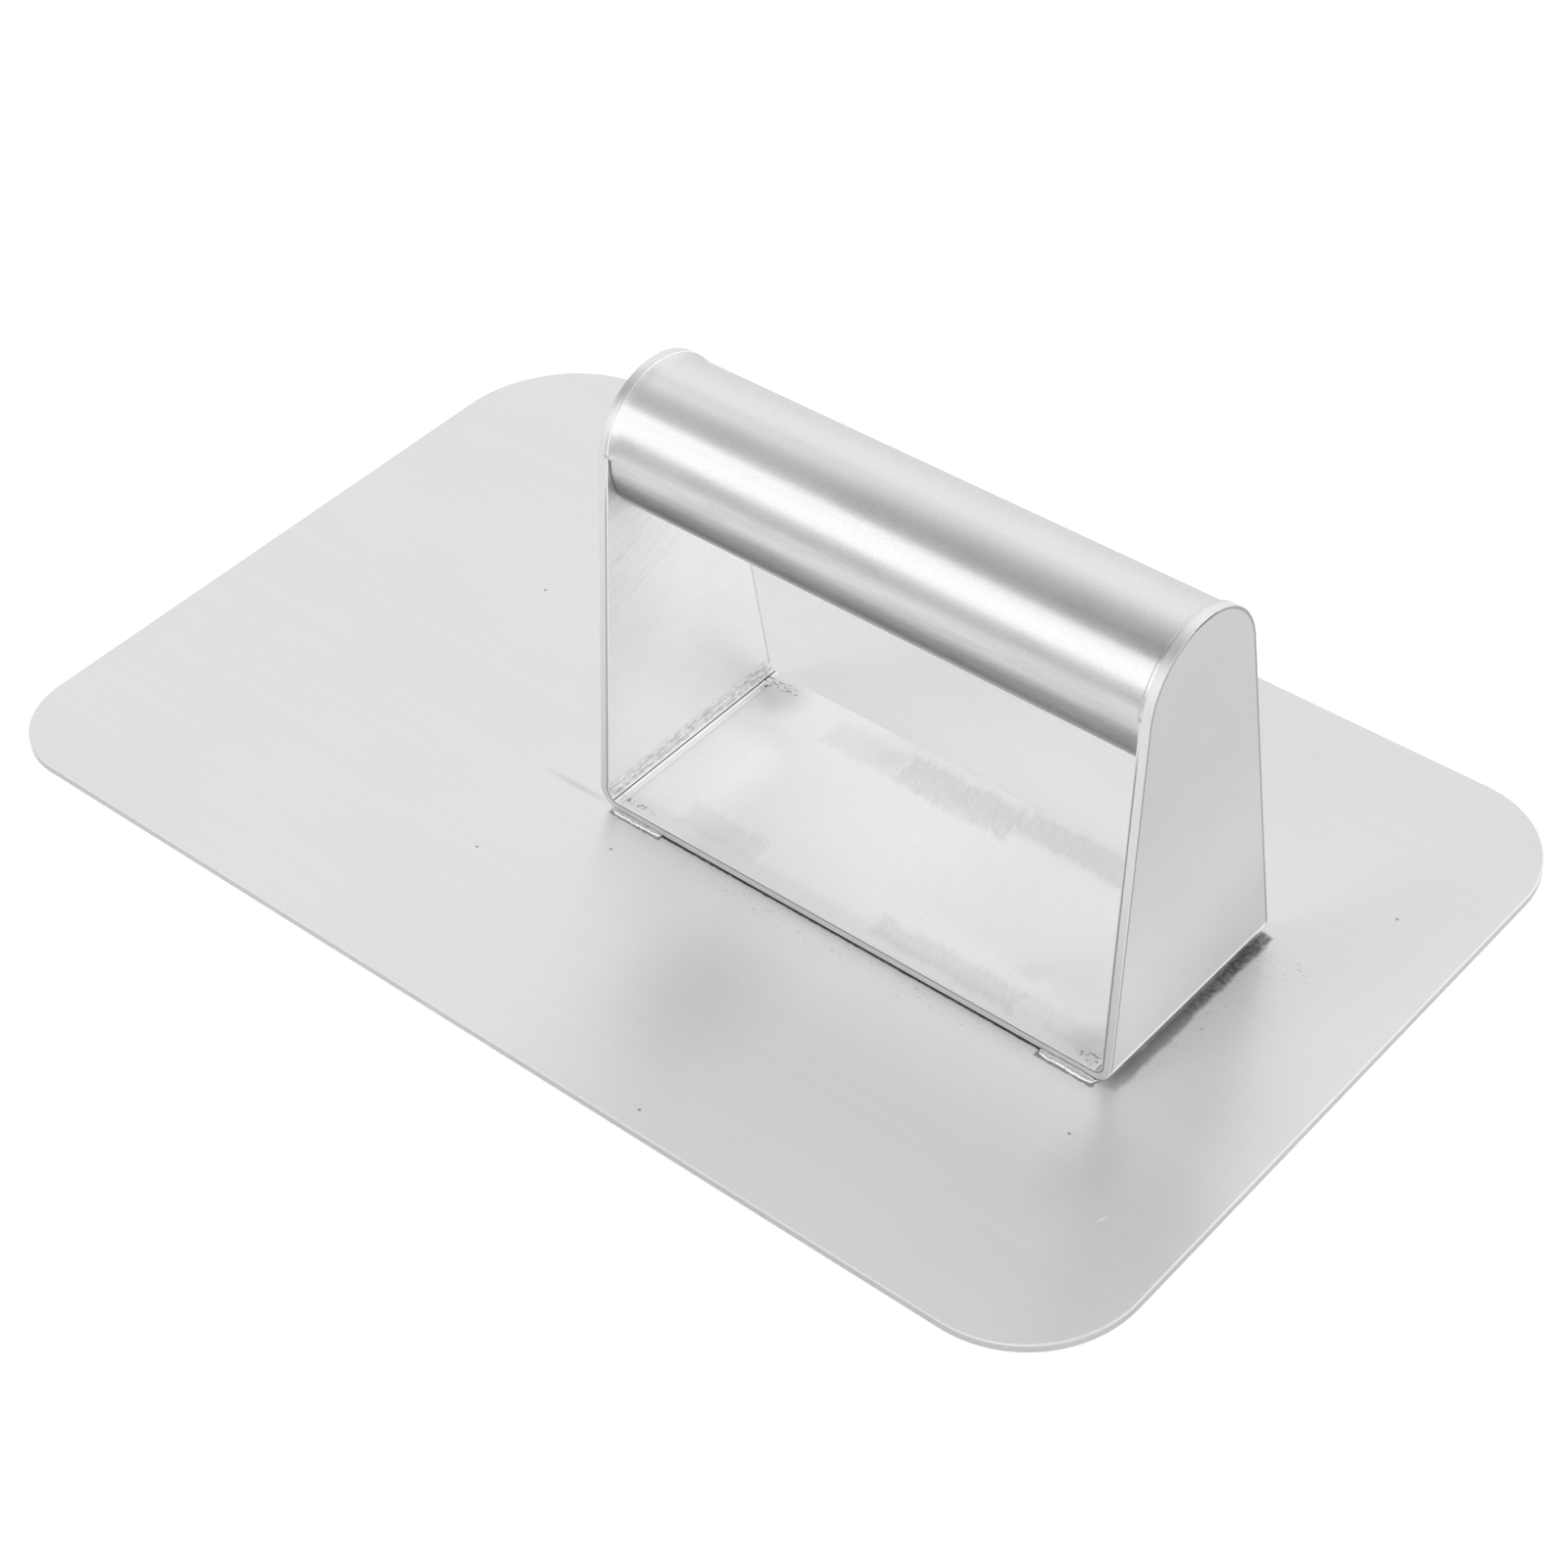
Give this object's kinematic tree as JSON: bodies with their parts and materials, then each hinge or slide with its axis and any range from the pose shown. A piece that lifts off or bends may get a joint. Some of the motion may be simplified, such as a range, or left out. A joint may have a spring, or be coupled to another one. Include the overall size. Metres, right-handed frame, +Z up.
{
  "type": "bacon press",
  "caption": "Flat stainless steel griddle press: a thin rounded plate with a folded U-bracket welded on off centre and a round tube grip between its ears.",
  "frame": {"origin": "middle of the plate's underside, on the surface it rests on", "axes": "+X along the plate's long side towards the end nearer the grip, +Y across the plate, +Z up"},
  "size_m": [0.254, 0.158, 0.089],
  "materials": {
    "plate_steel": "brushed along X, deburred edges",
    "bracket_steel": "brushed, with scuffs and fold marks",
    "tube_steel": "satin, fine grain",
    "weld_steel": "weld metal, lightly ground"
  },
  "bodies": {
    "root": {"press_plate": "plate_steel", "handle_bracket": "bracket_steel", "handle_tube": "tube_steel", "left_tube_weld": "weld_steel", "right_tube_weld": "weld_steel", "front_left_weld": "weld_steel", "front_right_weld": "weld_steel", "rear_left_weld": "weld_steel", "rear_right_weld": "weld_steel"}
  },
  "joints": []
}
